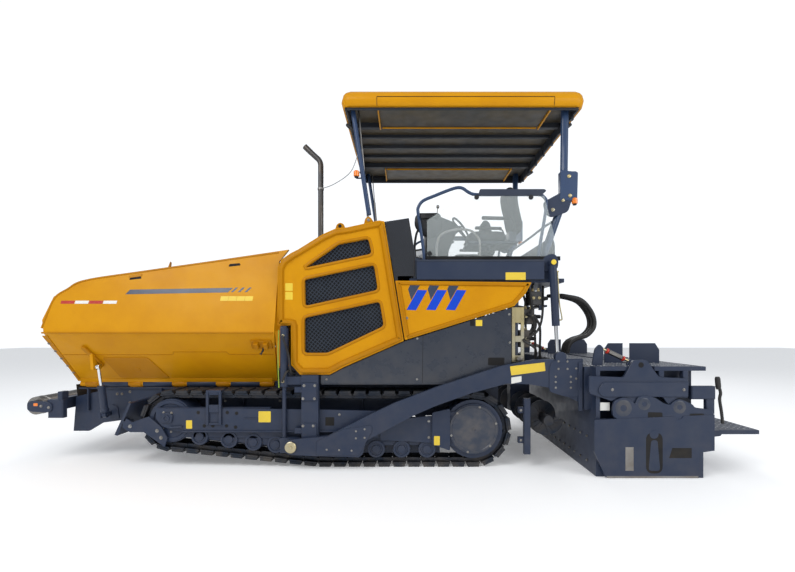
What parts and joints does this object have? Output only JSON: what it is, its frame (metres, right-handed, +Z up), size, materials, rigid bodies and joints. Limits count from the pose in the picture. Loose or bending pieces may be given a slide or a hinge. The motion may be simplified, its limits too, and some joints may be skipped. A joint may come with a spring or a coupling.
{
  "type": "asphalt paver",
  "caption": "Tracked asphalt paver with folding hopper wings, slat conveyors, spreading augers, a canopied operator's deck and a towed screed with sliding extensions.",
  "frame": {"origin": "on the ground, under the middle of the overall length, on the machine's centre plane", "axes": "+X towards the screed at the rear, -X towards the hopper at the front, -Y to the machine's left, +Z up"},
  "size_m": [7.48, 3, 3.85],
  "materials": {
    "machine_yellow": "satin",
    "frame_blue": "satin",
    "post_blue": "satin",
    "hood_slate": "gloss",
    "black_plastic": "matte",
    "grille_mesh": "matte",
    "track_rubber": "matte",
    "worn_steel": "worn",
    "rod_chrome": "polished",
    "engine_iron": "cast",
    "clear_glass": "clear",
    "seat_fabric": "woven"
  },
  "bodies": {
    "tractor": {"main_frame": "frame_blue", "conveyor": "worn_steel", "hopper_bulkhead": "machine_yellow", "engine_block": "engine_iron", "hood": "hood_slate", "exhaust_pipe": "worn_steel", "operator_platform": "frame_blue", "control_console": "black_plastic", "roof": "machine_yellow", "roof_frame": "post_blue", "auger_hanger": "frame_blue", "track_left": "track_rubber", "track_frame_left": "frame_blue", "track_scraper_left": "frame_blue", "side_cover_left": "machine_yellow", "side_grille_left": "grille_mesh", "rear_side_panel_left": "machine_yellow", "lower_side_panel_left": "frame_blue", "seat_left": "seat_fabric", "side_glass_left": "clear_glass", "guard_rail_left": "black_plastic", "guide_post_left": "frame_blue", "track_right": "track_rubber", "track_frame_right": "frame_blue", "track_scraper_right": "frame_blue", "side_cover_right": "machine_yellow", "side_grille_right": "grille_mesh", "rear_side_panel_right": "machine_yellow", "lower_side_panel_right": "frame_blue", "seat_right": "seat_fabric", "side_glass_right": "clear_glass", "guard_rail_right": "black_plastic", "guide_post_right": "frame_blue"},
    "push_beam": {"push_beam": "frame_blue"},
    "screed": {"screed_body": "frame_blue", "tow_arm_left": "frame_blue", "tow_arm_right": "frame_blue"},
    "push_roller_left": {"push_roller_left": "worn_steel"},
    "push_roller_right": {"push_roller_right": "worn_steel"},
    "wing_left": {"hopper_wing_left": "machine_yellow"},
    "wing_barrel_left": {"wing_cylinder_left": "black_plastic"},
    "wing_rod_left": {"wing_rod_left": "rod_chrome"},
    "wing_right": {"hopper_wing_right": "machine_yellow"},
    "wing_barrel_right": {"wing_cylinder_right": "black_plastic"},
    "wing_rod_right": {"wing_rod_right": "rod_chrome"},
    "tow_left": {"tow_point_left": "frame_blue"},
    "tow_right": {"tow_point_right": "frame_blue"},
    "lift_barrel_left": {"lift_cylinder_left": "black_plastic"},
    "lift_rod_left": {"lift_rod_left": "rod_chrome"},
    "lift_barrel_right": {"lift_cylinder_right": "black_plastic"},
    "lift_rod_right": {"lift_rod_right": "rod_chrome"},
    "extension_left": {"screed_extension_left": "frame_blue"},
    "step_left": {"rear_step_left": "frame_blue"},
    "auger_left": {"auger_left": "worn_steel"},
    "extension_right": {"screed_extension_right": "frame_blue"},
    "step_right": {"rear_step_right": "frame_blue"},
    "auger_right": {"auger_right": "worn_steel"}
  },
  "joints": [
    {"name": "push_beam_swivel", "type": "hinge", "parent": "tractor", "child": "push_beam", "pos_m": [-3.47, 0, 0.6], "axis": [0, 0, 1], "range_deg": [-4, 4]},
    {"name": "push_roller_left_spin", "type": "hinge", "parent": "push_beam", "child": "push_roller_left", "pos_m": [-3.645, -0.56, 0.595], "axis": [0, 1, 0], "continuous": true},
    {"name": "push_roller_right_spin", "type": "hinge", "parent": "push_beam", "child": "push_roller_right", "pos_m": [-3.645, 0.56, 0.595], "axis": [0, 1, 0], "continuous": true},
    {"name": "wing_left_fold", "type": "hinge", "parent": "tractor", "child": "wing_left", "pos_m": [-2.2, -0.8, 0.81], "axis": [1, 0, 0], "range_deg": [0, 38]},
    {"name": "wing_cylinder_left_tilt", "type": "hinge", "parent": "tractor", "child": "wing_barrel_left", "pos_m": [-2.92, -0.95, 0.5], "axis": [1, 0, 0], "range_deg": [0, 18.54]},
    {"name": "wing_cylinder_left_stroke", "type": "slide", "parent": "wing_barrel_left", "child": "wing_rod_left", "axis": [0, -0.207, 0.9783], "range_m": [-0.1673, 0]},
    {"name": "wing_right_fold", "type": "hinge", "parent": "tractor", "child": "wing_right", "pos_m": [-2.2, 0.8, 0.81], "axis": [-1, 0, 0], "range_deg": [0, 38]},
    {"name": "wing_cylinder_right_tilt", "type": "hinge", "parent": "tractor", "child": "wing_barrel_right", "pos_m": [-2.92, 0.95, 0.5], "axis": [-1, 0, 0], "range_deg": [0, 18.54]},
    {"name": "wing_cylinder_right_stroke", "type": "slide", "parent": "wing_barrel_right", "child": "wing_rod_right", "axis": [0, 0.207, 0.9783], "range_m": [-0.1673, 0]},
    {"name": "tow_left_level", "type": "slide", "parent": "tractor", "child": "tow_left", "axis": [0, 0, 1], "range_m": [0, 0.25]},
    {"name": "tow_right_level", "type": "slide", "parent": "tractor", "child": "tow_right", "axis": [0, 0, 1], "range_m": [0, 0.25]},
    {"name": "screed_lift", "type": "hinge", "parent": "tow_left", "child": "screed", "pos_m": [-0.855, 0, 0.24], "axis": [0, -1, 0], "range_deg": [0, 6]},
    {"name": "lift_cylinder_left_tilt", "type": "hinge", "parent": "tractor", "child": "lift_barrel_left", "pos_m": [1.765, -1.206, 2.08], "axis": [0, 1, 0], "range_deg": [0, 7.99]},
    {"name": "lift_cylinder_left_stroke", "type": "slide", "parent": "lift_barrel_left", "child": "lift_rod_left", "axis": [0.0526, 0, -0.9986], "range_m": [-0.2741, 0]},
    {"name": "lift_cylinder_right_tilt", "type": "hinge", "parent": "tractor", "child": "lift_barrel_right", "pos_m": [1.765, 1.206, 2.08], "axis": [0, 1, 0], "range_deg": [0, 7.99]},
    {"name": "lift_cylinder_right_stroke", "type": "slide", "parent": "lift_barrel_right", "child": "lift_rod_right", "axis": [0.0526, 0, -0.9986], "range_m": [-0.2741, 0]},
    {"name": "extension_left_slide", "type": "slide", "parent": "screed", "child": "extension_left", "axis": [0, -1, 0], "range_m": [0, 1.1]},
    {"name": "step_left_fold", "type": "hinge", "parent": "extension_left", "child": "step_left", "pos_m": [3.31, -0.75, 0.4], "axis": [0, -1, 0], "range_deg": [0, 90]},
    {"name": "auger_left_spin", "type": "hinge", "parent": "tractor", "child": "auger_left", "pos_m": [1.72, -0.6, 0.486], "axis": [0, 1, 0], "continuous": true},
    {"name": "extension_right_slide", "type": "slide", "parent": "screed", "child": "extension_right", "axis": [0, 1, 0], "range_m": [0, 1.1]},
    {"name": "step_right_fold", "type": "hinge", "parent": "extension_right", "child": "step_right", "pos_m": [3.31, 0.75, 0.4], "axis": [0, -1, 0], "range_deg": [0, 90]},
    {"name": "auger_right_spin", "type": "hinge", "parent": "tractor", "child": "auger_right", "pos_m": [1.72, 0.6, 0.486], "axis": [0, 1, 0], "continuous": true}
  ],
  "couplings": [
    {"joint": "wing_cylinder_left_tilt", "follows": "wing_left_fold", "ratio": 0.48255},
    {"joint": "wing_cylinder_left_stroke", "follows": "wing_left_fold", "m_per_rad": -0.25069},
    {"joint": "wing_cylinder_right_tilt", "follows": "wing_right_fold", "ratio": 0.48255},
    {"joint": "wing_cylinder_right_stroke", "follows": "wing_right_fold", "m_per_rad": -0.25069},
    {"joint": "tow_right_level", "follows": "tow_left_level", "ratio": 1},
    {"joint": "lift_cylinder_left_tilt", "follows": "screed_lift", "ratio": 1.3149},
    {"joint": "lift_cylinder_left_stroke", "follows": "screed_lift", "m_per_rad": -2.6077},
    {"joint": "lift_cylinder_right_tilt", "follows": "screed_lift", "ratio": 1.3149},
    {"joint": "lift_cylinder_right_stroke", "follows": "screed_lift", "m_per_rad": -2.6077}
  ]
}
